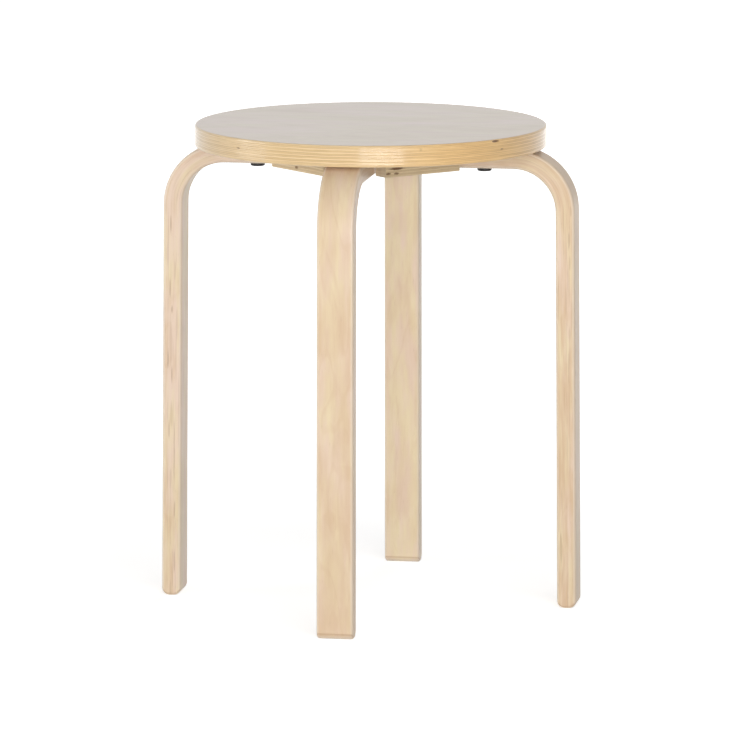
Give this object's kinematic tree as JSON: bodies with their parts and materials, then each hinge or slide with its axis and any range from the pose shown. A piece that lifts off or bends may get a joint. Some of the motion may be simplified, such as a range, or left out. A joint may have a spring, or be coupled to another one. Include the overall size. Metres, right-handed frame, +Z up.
{
  "type": "stacking stool",
  "caption": "Low round stool: a plywood seat on bent laminated legs set square to each other, which nests over another of its kind.",
  "frame": {"origin": "on the floor, under the middle of the seat", "axes": "+Z up through the seat; the legs stand on the X and Y axes, with the front leg at -Y"},
  "size_m": [0.3938, 0.3938, 0.45],
  "materials": {
    "seat_plywood": "satin lacquer over birch plywood, plies open at the rim",
    "birch_lamination": "satin clear lacquer over laminated birch",
    "batten_plywood": "raw sawn birch plywood",
    "black_steel": "black oxide, satin",
    "zinc_steel": "zinc plated"
  },
  "bodies": {
    "root": {"seat_panel": "seat_plywood", "leg_right": "birch_lamination", "leg_bolts_right": "black_steel", "seat_inserts_right": "zinc_steel", "leg_back": "birch_lamination", "leg_bolts_back": "black_steel", "seat_inserts_back": "zinc_steel", "leg_left": "birch_lamination", "leg_bolts_left": "black_steel", "seat_inserts_left": "zinc_steel", "leg_front": "birch_lamination", "leg_bolts_front": "black_steel", "seat_inserts_front": "zinc_steel", "batten_back_right": "batten_plywood", "batten_screws_back_right": "zinc_steel", "batten_back_left": "batten_plywood", "batten_screws_back_left": "zinc_steel", "batten_front_left": "batten_plywood", "batten_screws_front_left": "zinc_steel", "batten_front_right": "batten_plywood", "batten_screws_front_right": "zinc_steel"}
  },
  "joints": []
}
